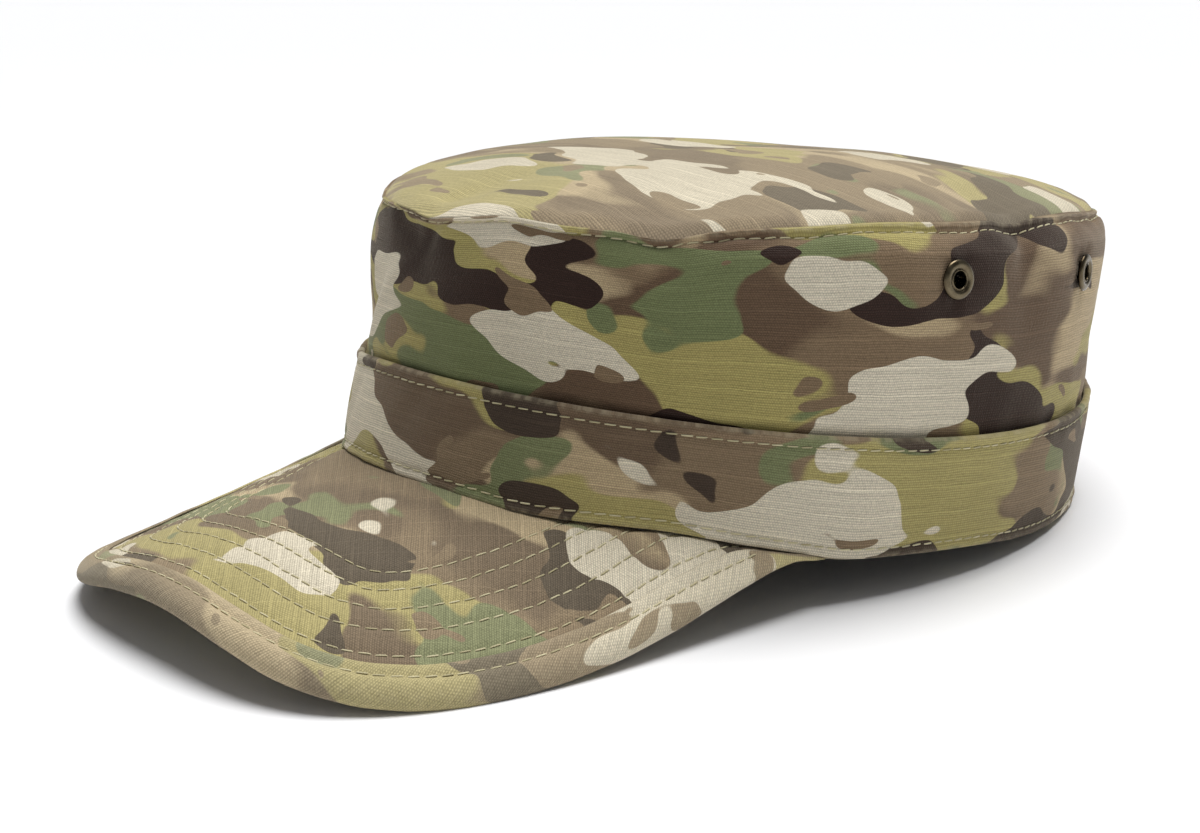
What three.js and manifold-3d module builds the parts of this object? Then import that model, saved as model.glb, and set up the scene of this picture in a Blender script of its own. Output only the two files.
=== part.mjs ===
// Soft patrol cap: round crown with a flat oval top, a doubled band and a stitched visor.
// Millimetres, +Z up, visor towards -Y. The crown is drawn upright in the cap's own frame,
// with its lower edge near z = 0, and is then tipped back onto a table as the cap lies by itself.
import * as THREE from 'three';
import Module from 'manifold-3d';
import { mergeVertices } from 'three/addons/utils/BufferGeometryUtils.js';

const wasm = await Module();
wasm.setup();

// How the cap lies: it stands on the back of its band and on the drooped sides of its visor.
const PITCH = 7.0; // degrees, front edge of the crown raised
const SINK = 0.5; // how far the cloth is pressed flat against the table
const MIDDLE_Y = 29.2; // moves the middle of the whole cap onto the origin

// Cloth thicknesses and the clearance between two layers
const GAP = 0.3;
const WALL = 1.3; // one lined layer of ripstop
const BAND = 1.6; // the band is folded double
const SWEATBAND = 1.5;
const SWEATBAND_DROP = { least: 0.2, beside: 1.3, from: 75, to: 115 }; // below the band, by azimuth
const TOP_PANEL = 1.4;
const BAND_OUT = GAP + BAND; // outer face of the band, measured from the outer face of the wall

// Crown outline. level 0 is the lower edge, 1 the top edge of the band, 2 the seam of the top panel.
const LEVEL_RIM = 0;
const LEVEL_BAND = 1;
const LEVEL_SEAM = 2;
const CROWN = [
  { level: 0.0, halfWidth: 85.7, halfLength: 107.1, shift: 0.0 },
  { level: 1.0, halfWidth: 87.9, halfLength: 103.6, shift: 0.8 },
  { level: 1.6, halfWidth: 88.4, halfLength: 103.9, shift: 0.7 },
  { level: 1.86, halfWidth: 87.6, halfLength: 103.4, shift: 1.2 },
  { level: 1.94, halfWidth: 85.0, halfLength: 104.0, shift: 1.7 },
  { level: 2.0, halfWidth: 80.2, halfLength: 104.5, shift: 2.2 },
];
const LEANS_FROM = 1.5; // level above which offsets follow the slope of the wall
const OUTER_HALF_WIDTH = CROWN[0].halfWidth + BAND_OUT;
const OUTER_HALF_LENGTH = CROWN[0].halfLength + BAND_OUT;
const BACK_Y = OUTER_HALF_LENGTH;

// Heights of the three edges round the crown: mean height, tilt from front to back, saddle
const RIM_EDGE = { mean: 0, tilt: 0, saddle: 3.7 };
const BAND_EDGE = { mean: 27.0, tilt: -2.5, saddle: 2.8 };
const SEAM_EDGE = { mean: 71.0, tilt: -5.1, saddle: -2.2 };

// Waves of the edges; azimuth in degrees from the front towards the wearer's left
const RIM_WAVES = [
  { azimuth: -42, width: 15, lift: -1.7 },
  { azimuth: 20, width: 9, lift: -0.9 },
  { azimuth: 42, width: 9, lift: 1.1 },
  { azimuth: 66, width: 7, lift: -1.2 },
  { azimuth: 87, width: 8, lift: 0.6 },
];
const BAND_WAVES = [
  { azimuth: -32, width: 13, lift: -1.6 },
  { azimuth: 200, width: 16, lift: -0.8 },
];
const SEAM_WAVES = [
  { azimuth: -32, width: 10, lift: -1.2 },
  { azimuth: -4, width: 4, lift: -0.9 },
  { azimuth: 13, width: 8, lift: 1.8 },
  { azimuth: 37, width: 6, lift: -2.1 },
  { azimuth: 66, width: 8, lift: 0.6 },
  { azimuth: 91, width: 4, lift: -1.2 },
  { azimuth: 107, width: 7, lift: 0.5 },
  { azimuth: 205, width: 12, lift: 0.8 },
  { azimuth: 250, width: 14, lift: -1.0 },
];

// Soft folds of the wall; slant moves the fold sideways as it rises, depth is inwards
const WALL_FOLDS = [
  { azimuth: -30, level: 1.35, width: 9, height: 0.3, slant: 22, depth: 2.0 },
  { azimuth: -8, level: 1.8, width: 5, height: 0.25, slant: -12, depth: 1.4 },
  { azimuth: 36, level: 1.75, width: 8, height: 0.35, slant: 10, depth: 1.3 },
  { azimuth: 91, level: 1.8, width: 6, height: 0.4, slant: -6, depth: 1.4 },
  { azimuth: 128, level: 1.45, width: 8, height: 0.3, slant: 14, depth: 1.0 },
  { azimuth: 172, level: 1.6, width: 10, height: 0.35, slant: 0, depth: 1.6 },
  { azimuth: 218, level: 1.5, width: 9, height: 0.3, slant: -16, depth: 1.2 },
  { azimuth: 262, level: 1.7, width: 10, height: 0.4, slant: 10, depth: 1.4 },
  { azimuth: 300, level: 1.4, width: 9, height: 0.3, slant: 12, depth: 1.1 },
];

// Top panel: a shallow dome with a few dents; radius is a share of the way to the seam
const DOME = 11.0;
const DOME_POWER = 3.2;
const SEAM_RIDGE = 0.4;
const SEAM_WAVE_POWER = 8; // how fast the waves of the seam fade towards the middle of the top
const DENTS_END = 0.9; // radius from which the dents fade out towards the seam
const TOP_DENTS = [
  { azimuth: -4, radius: 0.8, width: 9, reach: 0.14, depth: 1.6 },
  { azimuth: 36, radius: 0.82, width: 9, reach: 0.16, depth: 1.4 },
  { azimuth: 93, radius: 0.86, width: 8, reach: 0.12, depth: 1.6 },
  { azimuth: 232, radius: 0.6, width: 26, reach: 0.22, depth: 1.2 },
];

// Visor
const VISOR = {
  halfWidth: 74.7,
  frontY: -173.8,
  sideY: -42.0, // where the curved outline starts to run straight back
  squareness: 3.4,
  thickness: 3.2,
  chamfer: 1.2,
  endAzimuth: 58,
  tuck: 3.2, // reach of the visor under the band and the wall
  sunk: 0.4, // the body lies this far below the upper face, level with the tape's inside
};
// Height of its upper face over the length and the width of the visor
const VISOR_FACE = {
  start: 3.0,
  slope: -0.221,
  bow: -0.00112,
  bowChange: 5.0e-6,
  droop: 0.0039,
  droopChange: 3.1e-5,
  droopBow: -2.3e-7,
  cornerLift: 2.6e-9,
};
const SEAM_BLEND = 0.15; // share of the crown's radius over which the visor turns up to its seam
// Room between the visor and the band's lower edge, more where the binding passes below it
const SEAM_ROOM = { plain: 0.4, overBinding: 1.6, from: 42, to: 50 };
const BINDING = { wall: 0.8, width: 6.9, leastWidth: 2.3, clearance: 0.4, bend: 2.0 };

// Eyelets of the vents, two on each side
const EYELET = { radius: 4.6, hole: 2.1, barrel: 2.8, flange: 0.75, bevel: 0.5, lip: 0.3, sides: 14 };
const EYELET_CLEARANCE = 0.2; // the flat flanges clear the curve of the wall
const DRILL_LENGTH = 12;
const EYELETS = [
  { name: 'eyelet_left_front', azimuth: 76.5, height: 60.3 },
  { name: 'eyelet_left_back', azimuth: 107.5, height: 61.4 },
  { name: 'eyelet_right_front', azimuth: -76.5, height: 60.3 },
  { name: 'eyelet_right_back', azimuth: -107.5, height: 61.4 },
];

const AROUND = 64; // steps round the crown
const ALONG_VISOR = 42; // steps along the visor's edge

const radians = THREE.MathUtils.degToRad;
const mix = THREE.MathUtils.lerp;
const hump = (x, centre, width) => Math.exp(-(((x - centre) / width) ** 2));
const ease = (from, to, x) => THREE.MathUtils.smoothstep(x, from, to);
const turnBetween = (a, b) => ((a - b + 540) % 360) - 180;

// Smooth curve through the rows of a table, read at x
function readTable(rows, key, column, x) {
  const last = rows.length - 1;
  let i = 0;
  while (i < last - 1 && x > rows[i + 1][key]) i += 1;
  const slope = (k) => {
    const a = rows[Math.max(k - 1, 0)];
    const b = rows[Math.min(k + 1, last)];
    return (b[column] - a[column]) / (b[key] - a[key]);
  };
  const a = rows[i];
  const b = rows[i + 1];
  const span = b[key] - a[key];
  const t = (x - a[key]) / span;
  const t2 = t * t;
  const t3 = t2 * t;
  return (
    (2 * t3 - 3 * t2 + 1) * a[column] +
    (t3 - 2 * t2 + t) * span * slope(i) +
    (3 * t2 - 2 * t3) * b[column] +
    (t3 - t2) * span * slope(i + 1)
  );
}

const wave = (rows, azimuth) =>
  rows.reduce((sum, row) => sum + row.lift * hump(turnBetween(azimuth, row.azimuth), 0, row.width), 0);

function edgeHeight(edge, azimuth) {
  const angle = radians(azimuth);
  return edge.mean + edge.tilt * Math.cos(angle) + edge.saddle * Math.cos(2 * angle);
}

const rimHeight = (azimuth) => edgeHeight(RIM_EDGE, azimuth) + wave(RIM_WAVES, azimuth);
const bandHeight = (azimuth) => edgeHeight(BAND_EDGE, azimuth) + wave(BAND_WAVES, azimuth);
const seamHeight = (azimuth) => edgeHeight(SEAM_EDGE, azimuth) + wave(SEAM_WAVES, azimuth);

function heightAt(azimuth, level) {
  if (level <= LEVEL_BAND) return mix(rimHeight(azimuth), bandHeight(azimuth), level);
  return mix(bandHeight(azimuth), seamHeight(azimuth), level - LEVEL_BAND);
}

function foldDepth(azimuth, level) {
  return WALL_FOLDS.reduce((sum, fold) => {
    const centre = fold.azimuth + fold.slant * (level - fold.level);
    const along = hump(turnBetween(azimuth, centre), 0, fold.width);
    return sum + fold.depth * along * hump(level, fold.level, fold.height);
  }, 0);
}

// Point on the wall's outer face
function wallFace(azimuth, level) {
  const angle = radians(azimuth);
  const halfWidth = readTable(CROWN, 'level', 'halfWidth', level);
  const halfLength = readTable(CROWN, 'level', 'halfLength', level);
  const shift = readTable(CROWN, 'level', 'shift', level);
  const outward = new THREE.Vector2(Math.sin(angle) / halfWidth, -Math.cos(angle) / halfLength).normalize();
  const depth = foldDepth(azimuth, level);
  return new THREE.Vector3(
    halfWidth * Math.sin(angle) - outward.x * depth,
    -halfLength * Math.cos(angle) + shift - outward.y * depth,
    heightAt(azimuth, level),
  );
}

// Direction out of the wall; level with the table up to the band's top edge
function wallNormal(azimuth, level) {
  const step = 0.5;
  const rise = 0.02;
  const low = Math.min(level, LEVEL_SEAM - rise);
  const across = wallFace(azimuth + step, level).sub(wallFace(azimuth - step, level));
  const up = wallFace(azimuth, low + rise).sub(wallFace(azimuth, low));
  const normal = across.cross(up).normalize();
  normal.z *= ease(LEVEL_BAND, LEANS_FROM, level);
  return normal.normalize();
}

const wallPoint = (azimuth, level, outward) =>
  wallFace(azimuth, level).addScaledVector(wallNormal(azimuth, level), outward);

// From the cap's own frame to the table
function settle(point) {
  const back = new THREE.Vector3(0, BACK_Y, rimHeight(180));
  const tipped = point.clone().sub(back).applyAxisAngle(new THREE.Vector3(1, 0, 0), radians(-PITCH));
  tipped.y += BACK_Y + MIDDLE_Y;
  tipped.z = Math.max(tipped.z - SINK, 0);
  return tipped;
}

// Closed body from vertices and triangles, with its faces turned outwards
function solid(points, triangles) {
  const settled = points.map(settle);
  const volume = triangles.reduce((sum, [a, b, c]) => {
    const normal = new THREE.Vector3().crossVectors(settled[b], settled[c]);
    return sum + settled[a].dot(normal);
  }, 0);
  const index = triangles.flatMap(([a, b, c]) => (volume > 0 ? [a, b, c] : [a, c, b]));
  const geometry = new THREE.BufferGeometry();
  const positions = settled.flatMap((point) => point.toArray());
  geometry.setAttribute('position', new THREE.Float32BufferAttribute(positions, 3));
  geometry.setIndex(index);
  return geometry;
}

// Skin between neighbouring sections of equal length, each a closed loop of points
function skin(sections, closed) {
  const size = sections[0].length;
  const steps = closed ? sections.length : sections.length - 1;
  const triangles = [];
  for (let i = 0; i < steps; i += 1) {
    const here = i * size;
    const next = ((i + 1) % sections.length) * size;
    for (let j = 0; j < size; j += 1) {
      const k = (j + 1) % size;
      triangles.push([here + j, next + j, next + k], [here + j, next + k, here + k]);
    }
  }
  return triangles;
}

const azimuths = Array.from({ length: AROUND }, (_, i) => (i * 360) / AROUND);

// Ring of cloth between two offsets of the wall, through the given levels
function clothRing(levels, outer, inner, lower) {
  const sections = azimuths.map((azimuth) => {
    const side = (offset) =>
      levels.map((level, i) => {
        const point = wallPoint(azimuth, level, offset);
        if (i === 0) point.z -= lower(azimuth);
        return point;
      });
    return [...side(outer), ...side(inner).reverse()];
  });
  return solid(sections.flat(), skin(sections, true));
}

function topPoint(azimuth, radius, lift) {
  const angle = radians(azimuth);
  const seam = CROWN[CROWN.length - 1];
  const dent = TOP_DENTS.reduce((sum, row) => {
    const along = hump(turnBetween(azimuth, row.azimuth), 0, row.width);
    return sum + row.depth * along * hump(radius, row.radius, row.reach);
  }, 0);
  const base =
    SEAM_EDGE.mean +
    SEAM_EDGE.tilt * radius * Math.cos(angle) +
    SEAM_EDGE.saddle * radius ** 2 * Math.cos(2 * angle) +
    wave(SEAM_WAVES, azimuth) * radius ** SEAM_WAVE_POWER;
  const edge = 1 - ease(DENTS_END, 1, radius);
  return new THREE.Vector3(
    radius * (seam.halfWidth + SEAM_RIDGE) * Math.sin(angle),
    -radius * (seam.halfLength + SEAM_RIDGE) * Math.cos(angle) + seam.shift,
    base + DOME * (1 - radius ** DOME_POWER) - dent * edge + lift,
  );
}

function topPanel() {
  const radii = [0.35, 0.6, 0.78, 0.9, 0.96, 1.0];
  const faces = [GAP, GAP + TOP_PANEL];
  const points = faces.flatMap((lift) => [
    topPoint(0, 0, lift),
    ...radii.flatMap((radius) => azimuths.map((azimuth) => topPoint(azimuth, radius, lift))),
  ]);
  const faceSize = 1 + radii.length * AROUND;
  const vertex = (face, ring, i) => face * faceSize + 1 + ring * AROUND + (i % AROUND);
  const triangles = [];
  for (let i = 0; i < AROUND; i += 1) {
    [0, 1].forEach((face) => {
      const turn = ([a, b, c]) => (face ? [a, b, c] : [a, c, b]);
      triangles.push(turn([face * faceSize, vertex(face, 0, i), vertex(face, 0, i + 1)]));
      for (let ring = 0; ring < radii.length - 1; ring += 1) {
        const corners = [
          vertex(face, ring, i),
          vertex(face, ring + 1, i),
          vertex(face, ring + 1, i + 1),
          vertex(face, ring, i + 1),
        ];
        triangles.push(turn([corners[0], corners[1], corners[2]]), turn([corners[0], corners[2], corners[3]]));
      }
    });
    const rim = radii.length - 1;
    triangles.push(
      [vertex(0, rim, i), vertex(0, rim, i + 1), vertex(1, rim, i + 1)],
      [vertex(0, rim, i), vertex(1, rim, i + 1), vertex(1, rim, i)],
    );
  }
  return solid(points, triangles);
}

// Upper face of the visor before it is turned up to its seam
function plainVisorHeight(x, y) {
  const face = VISOR_FACE;
  const ahead = -y - OUTER_HALF_LENGTH;
  const droop = face.droop + face.droopChange * ahead + face.droopBow * ahead ** 2;
  return (
    face.start +
    face.slope * ahead +
    face.bow * ahead ** 2 +
    face.bowChange * ahead ** 3 -
    droop * x ** 2 +
    face.cornerLift * ahead * x ** 4
  );
}

function seamRoom(azimuth) {
  const room = SEAM_ROOM;
  return mix(room.plain, room.overBinding, ease(room.from, room.to, Math.abs(azimuth)));
}

const crownPlan = (azimuth, reach) =>
  new THREE.Vector2(
    OUTER_HALF_WIDTH * reach * Math.sin(radians(azimuth)),
    -OUTER_HALF_LENGTH * reach * Math.cos(radians(azimuth)),
  );

// Upper face of the visor; reach is 1 at the band's outer face
function visorHeight(x, y) {
  const azimuth = THREE.MathUtils.radToDeg(Math.atan2(x / OUTER_HALF_WIDTH, -y / OUTER_HALF_LENGTH));
  const reach = Math.hypot(x / OUTER_HALF_WIDTH, y / OUTER_HALF_LENGTH);
  const seam = crownPlan(azimuth, 1);
  const seamTop = rimHeight(azimuth) - seamRoom(azimuth);
  if (reach <= 1) return seamTop;
  const mismatch = seamTop - plainVisorHeight(seam.x, seam.y);
  return plainVisorHeight(x, y) + mismatch * hump(reach, 1, SEAM_BLEND);
}

// Share of the crown's radius at which a ray from the crown's middle leaves the visor's outline
function outlineReach(azimuth, inset) {
  const halvings = 40;
  let near = 0.5;
  let far = 2.5;
  for (let i = 0; i < halvings; i += 1) {
    const middle = (near + far) / 2;
    const plan = crownPlan(azimuth, middle);
    const across = Math.abs(plan.x) / (VISOR.halfWidth - inset);
    const ahead = Math.max(VISOR.sideY - plan.y, 0) / (VISOR.sideY - VISOR.frontY - inset);
    const inside = across ** VISOR.squareness + ahead ** VISOR.squareness < 1;
    near = inside ? middle : near;
    far = inside ? far : middle;
  }
  return near;
}

const outlinePoint = (azimuth) => crownPlan(azimuth, outlineReach(azimuth, 0));

const visorAzimuths = Array.from(
  { length: ALONG_VISOR + 1 },
  (_, i) => VISOR.endAzimuth * ((2 * i) / ALONG_VISOR - 1),
);

const tuckReach = (azimuth) => 1 - VISOR.tuck / crownPlan(azimuth, 1).length();

// Body of the visor, with a chamfered edge that the binding wraps
function visorBody() {
  const edgeInset = BINDING.wall + 2 * GAP;
  const { chamfer } = VISOR;
  const shares = [0, 0.08, 0.22, 0.42, 0.64, 0.84, 1];
  const sections = visorAzimuths.map((azimuth) => {
    const start = tuckReach(azimuth);
    const flatEnd = Math.max(outlineReach(azimuth, edgeInset + chamfer), start);
    const edgeEnd = outlineReach(azimuth, edgeInset);
    const at = (reach, drop) => {
      const plan = crownPlan(azimuth, reach);
      return new THREE.Vector3(plan.x, plan.y, visorHeight(plan.x, plan.y) - VISOR.sunk - drop);
    };
    const upper = shares.map((share) => at(mix(start, flatEnd, share), 0));
    const lower = shares.map((share) => at(mix(start, flatEnd, share), VISOR.thickness));
    return [...upper, at(edgeEnd, chamfer), at(edgeEnd, VISOR.thickness - chamfer), ...lower.reverse()];
  });
  return cappedStrip(sections);
}

// Strip of sections with both ends closed; an end joins each point to the one across from it
function cappedStrip(sections) {
  const size = sections[0].length;
  const points = sections.flat();
  const triangles = skin(sections, false);
  [0, sections.length - 1].forEach((end) => {
    const first = end * size;
    for (let j = 0; j < size / 2 - 1; j += 1) {
      const across = size - 1 - j;
      const corners = [first + j, first + j + 1, first + across - 1, first + across];
      const turn = ([a, b, c]) => (end === 0 ? [a, b, c] : [a, c, b]);
      triangles.push(turn([corners[0], corners[1], corners[2]]), turn([corners[0], corners[2], corners[3]]));
    }
  });
  return solid(points, triangles);
}

// Bias tape folded over the visor's edge: inward distance and height over the visor's upper face
function bindingSection(width) {
  const under = VISOR.thickness;
  const wall = BINDING.wall;
  const clear = BINDING.clearance;
  const { bend } = BINDING;
  const middle = (width + bend) / 2;
  const outer = [
    [width, clear + wall],
    [middle, clear + wall],
    [bend, clear + wall],
    [0.6, 0.2],
    [0.0, -0.9],
    [0.0, -under + 0.9],
    [0.6, -under - 0.2],
    [bend, -under - clear - wall],
    [middle, -under - clear - wall],
    [width, -under - clear - wall],
  ];
  const inner = [
    [width, -under - clear],
    [middle, -under - clear],
    [bend + 0.2, -under - clear],
    [1.0, -under + 1.1],
    [wall, -under + 1.5],
    [wall, -1.5],
    [1.0, -1.1],
    [bend + 0.2, clear],
    [middle, clear],
    [width, clear],
  ];
  return [...outer, ...inner];
}

function visorBinding() {
  const step = 0.3; // degrees to each side, for the direction along the edge
  const sections = visorAzimuths.map((azimuth) => {
    const edge = outlinePoint(azimuth);
    const along = outlinePoint(azimuth + step).sub(outlinePoint(azimuth - step)).normalize();
    const inward = new THREE.Vector2(-along.y, along.x);
    const room = edge.length() - crownPlan(azimuth, 1).length();
    const width = THREE.MathUtils.clamp(room, BINDING.leastWidth, BINDING.width);
    return bindingSection(width).map(([inset, height]) => {
      const plan = edge.clone().addScaledVector(inward, inset);
      return new THREE.Vector3(plan.x, plan.y, visorHeight(plan.x, plan.y) - VISOR.sunk + height);
    });
  });
  return cappedStrip(sections);
}

// Frame on the wall at an eyelet: its point and the direction out of the cloth
function eyeletSeat({ azimuth, height }) {
  const low = bandHeight(azimuth);
  const level = LEVEL_BAND + (height - low) / (seamHeight(azimuth) - low);
  const point = wallFace(azimuth, level);
  const tip = settle(point.clone().add(wallNormal(azimuth, level)));
  const place = settle(point);
  return { place, outward: tip.sub(place).normalize() };
}

function turnTo(geometry, { place, outward }) {
  const turn = new THREE.Quaternion().setFromUnitVectors(new THREE.Vector3(0, 1, 0), outward);
  return geometry.applyQuaternion(turn).translate(place.x, place.y, place.z);
}

function eyelet(seat) {
  const { radius, hole, barrel, flange, bevel, lip } = EYELET;
  const inside = -WALL - GAP - EYELET_CLEARANCE;
  const face = GAP + EYELET_CLEARANCE;
  const backRadius = radius - bevel;
  const profile = [
    [hole, inside - flange],
    [backRadius, inside - flange],
    [backRadius, inside],
    [barrel, inside],
    [barrel, face],
    [radius, face],
    [radius - bevel, face + flange],
    [hole + lip, face + flange],
    [hole, inside - flange],
  ].map(([x, y]) => new THREE.Vector2(x, y));
  const geometry = new THREE.LatheGeometry(profile, EYELET.sides);
  geometry.deleteAttribute('normal');
  geometry.deleteAttribute('uv');
  return turnTo(mergeVertices(geometry, 1e-3), seat);
}

function toManifold(geometry) {
  const vertProperties = new Float32Array(geometry.attributes.position.array);
  const triVerts = new Uint32Array(geometry.index.array);
  return new wasm.Manifold(new wasm.Mesh({ numProp: 3, vertProperties, triVerts }));
}

function fromManifold(body) {
  const { vertProperties, triVerts } = body.getMesh();
  const geometry = new THREE.BufferGeometry();
  geometry.setAttribute('position', new THREE.Float32BufferAttribute(vertProperties, 3));
  geometry.setIndex(Array.from(triVerts));
  return geometry;
}

// Wall of the crown with a round hole for the barrel of each eyelet
function sideWall(seats) {
  const levels = [0, 0.5, 1, 1.3, 1.55, 1.74, 1.86, 1.93, 2];
  const drillRadius = EYELET.barrel + GAP;
  let body = toManifold(clothRing(levels, 0, -WALL, () => 0));
  seats.forEach((seat) => {
    const drill = new THREE.CylinderGeometry(drillRadius, drillRadius, DRILL_LENGTH, EYELET.sides);
    drill.deleteAttribute('normal');
    drill.deleteAttribute('uv');
    body = body.subtract(toManifold(turnTo(mergeVertices(drill, 1e-3), seat)));
  });
  return fromManifold(body);
}

const bandLevels = [LEVEL_RIM, 0.5, LEVEL_BAND];

// The sweatband's lower edge shows below the band beside the ends of the visor
function sweatbandDrop(azimuth) {
  const drop = SWEATBAND_DROP;
  return drop.least + drop.beside * (1 - ease(drop.from, drop.to, Math.abs(turnBetween(azimuth, 0))));
}

const CLOTH = { color: 0x857a5c, roughness: 0.95, metalness: 0 };
const TAPE = { color: 0xa79672, roughness: 0.95, metalness: 0 };
const LINING = { color: 0x9a8d6e, roughness: 0.95, metalness: 0 };
const BRASS = { color: 0x5d543f, roughness: 0.4, metalness: 0.9 };

const cap = new THREE.Group();

function addPiece(name, geometry, finish) {
  const piece = new THREE.Mesh(geometry, new THREE.MeshStandardMaterial(finish));
  piece.name = name;
  cap.add(piece);
}

const seats = EYELETS.map(eyeletSeat);
addPiece('top_panel', topPanel(), CLOTH);
addPiece('side_wall', sideWall(seats), CLOTH);
addPiece('band', clothRing(bandLevels, BAND_OUT, GAP, () => 0), CLOTH);
addPiece('sweatband', clothRing(bandLevels, -WALL - GAP, -WALL - GAP - SWEATBAND, sweatbandDrop), LINING);
addPiece('visor', visorBody(), CLOTH);
addPiece('visor_binding', visorBinding(), TAPE);
EYELETS.forEach(({ name }, i) => addPiece(name, eyelet(seats[i]), BRASS));

export default cap;
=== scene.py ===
"""Looks of a soft camouflage field cap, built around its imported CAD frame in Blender 4.5.

Lengths are millimetres in the cap's own frame, with the visor towards -Y and the crown's lower edge near
z = 0, until settle() tips the cap back onto the table and turns them into the metres of the shared frame.
An azimuth is in degrees from the front towards the wearer's left. A level is 0 at the crown's lower edge,
1 at the top edge of the band and 2 at the seam of the top panel.
"""
import math

import bmesh
import bpy
import numpy as np
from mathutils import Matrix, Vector


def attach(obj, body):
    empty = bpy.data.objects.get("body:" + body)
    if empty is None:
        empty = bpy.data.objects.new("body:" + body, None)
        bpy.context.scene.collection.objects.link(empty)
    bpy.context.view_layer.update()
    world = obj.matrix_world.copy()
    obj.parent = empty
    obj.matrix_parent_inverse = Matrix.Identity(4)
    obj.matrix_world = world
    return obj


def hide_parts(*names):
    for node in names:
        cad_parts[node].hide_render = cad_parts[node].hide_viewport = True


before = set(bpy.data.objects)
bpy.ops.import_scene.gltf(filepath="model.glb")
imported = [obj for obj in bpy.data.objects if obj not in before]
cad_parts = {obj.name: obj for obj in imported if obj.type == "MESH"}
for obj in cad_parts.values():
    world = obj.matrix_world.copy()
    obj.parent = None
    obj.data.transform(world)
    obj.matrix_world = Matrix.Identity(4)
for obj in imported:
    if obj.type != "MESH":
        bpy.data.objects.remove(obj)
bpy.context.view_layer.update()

MM = 0.001

# How the cap lies on the table
PITCH = math.radians(7.0)
SINK = 0.5
MIDDLE_Y = 29.2

# Cloth layers, measured outwards from the outer face of the wall
GAP = 0.3
WALL = 1.3
BAND = 1.6
BAND_OUT = GAP + BAND
SWEATBAND_OUT = -WALL - GAP
SWEATBAND = 1.5
# How far the sweatband shows below the band, and how much more it does before these azimuths
SWEATBAND_DROP = {"least": 0.2, "more": 1.3, "from": 75, "to": 115}
TOP_PANEL = 1.4

# Outline of the crown at a few levels
CROWN = {
    "level": [0.0, 1.0, 1.6, 1.86, 1.94, 2.0],
    "half_width": [85.7, 87.9, 88.4, 87.6, 85.0, 80.2],
    "half_length": [107.1, 103.6, 103.9, 103.4, 104.0, 104.5],
    "shift": [0.0, 0.8, 0.7, 1.2, 1.7, 2.2],
}
OUTER_HALF_WIDTH = CROWN["half_width"][0] + BAND_OUT
OUTER_HALF_LENGTH = CROWN["half_length"][0] + BAND_OUT
ROUND = 610.0  # length of cloth round the crown

# Edges round the crown: mean height, tilt from front to back, saddle, and waves (azimuth, width, lift)
RIM_EDGE = (0.0, 0.0, 3.7, [(-42, 15, -1.7), (20, 9, -0.9), (42, 9, 1.1), (66, 7, -1.2), (87, 8, 0.6)])
BAND_EDGE = (27.0, -2.5, 2.8, [(-32, 13, -1.6), (200, 16, -0.8)])
SEAM_WAVES = [
    (-32, 10, -1.2), (-4, 4, -0.9), (13, 8, 1.8), (37, 6, -2.1), (66, 8, 0.6),
    (91, 4, -1.2), (107, 7, 0.5), (205, 12, 0.8), (250, 14, -1.0),
]
SEAM_EDGE = (71.0, -5.1, -2.2, SEAM_WAVES)

# Soft folds of the wall: azimuth, level, width, height, slant, depth inwards
WALL_FOLDS = [
    (-30, 1.35, 9, 0.3, 22, 2.0),
    (-8, 1.8, 5, 0.25, -12, 1.4),
    (36, 1.75, 8, 0.35, 10, 1.3),
    (91, 1.8, 6, 0.4, -6, 1.4),
    (128, 1.45, 8, 0.3, 14, 1.0),
    (172, 1.6, 10, 0.35, 0, 1.6),
    (218, 1.5, 9, 0.3, -16, 1.2),
    (262, 1.7, 10, 0.4, 10, 1.4),
    (300, 1.4, 9, 0.3, 12, 1.1),
]

# Finer creases of the wall, in the same columns
CREASES = [
    (-30, 1.27, 3.2, 0.26, 40, 1.0),
    (-17, 1.45, 3.0, 0.3, 34, -0.5),
    (-4, 1.86, 1.9, 0.12, 8, 0.8),
    (37, 1.88, 3.2, 0.14, 0, 0.6),
    (91, 1.9, 1.8, 0.1, 10, 0.9),
    (150, 1.8, 2.6, 0.2, -12, 0.6),
    (196, 1.25, 3.0, 0.2, 20, 0.7),
    (240, 1.85, 2.4, 0.16, 8, 0.7),
    (286, 1.3, 3.4, 0.25, -24, 0.8),
    (322, 1.8, 2.4, 0.2, 14, 0.7),
]

# Soft creases of the band, in the same columns, with the level from its lower edge
BAND_CREASES = [
    (-38, 0.55, 3.5, 0.6, 16, 0.7),
    (-26, 0.45, 3.2, 0.5, 12, 0.6),
    (-14, 0.5, 3.6, 0.6, -10, -0.4),
    (-2, 0.6, 3.4, 0.45, 8, 0.35),
    (96, 0.55, 4.0, 0.5, -8, 0.4),
    (142, 0.5, 4.5, 0.6, 10, 0.5),
    (214, 0.45, 4.0, 0.6, -12, 0.5),
    (268, 0.5, 4.2, 0.5, 12, 0.5),
    (306, 0.55, 3.6, 0.5, -10, 0.4),
]

# Top panel: a shallow dome with dents (azimuth, radius, width, reach, depth)
DOME = 11.0
DOME_POWER = 3.2
SEAM_RIDGE = 0.4
TOP_DENTS = [
    (-4, 0.8, 9, 0.14, 1.6),
    (36, 0.82, 9, 0.16, 1.4),
    (93, 0.86, 8, 0.12, 1.6),
    (232, 0.6, 26, 0.22, 1.2),
]
TOP_CREASES = [
    (-6, 0.91, 2.4, 0.07, 0.9),
    (3, 0.9, 3.0, 0.08, -0.5),
    (90, 0.93, 2.4, 0.06, 0.7),
]
TOP_EDGE = 1.004  # the top panel's radius, which reaches just under the padded seam
TOP_SUNK = 0.2  # how far the top panel's lower face dips into the gap above the wall
TOP_ROLL = 3.2  # width of the rounding at the top panel's edge

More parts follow.
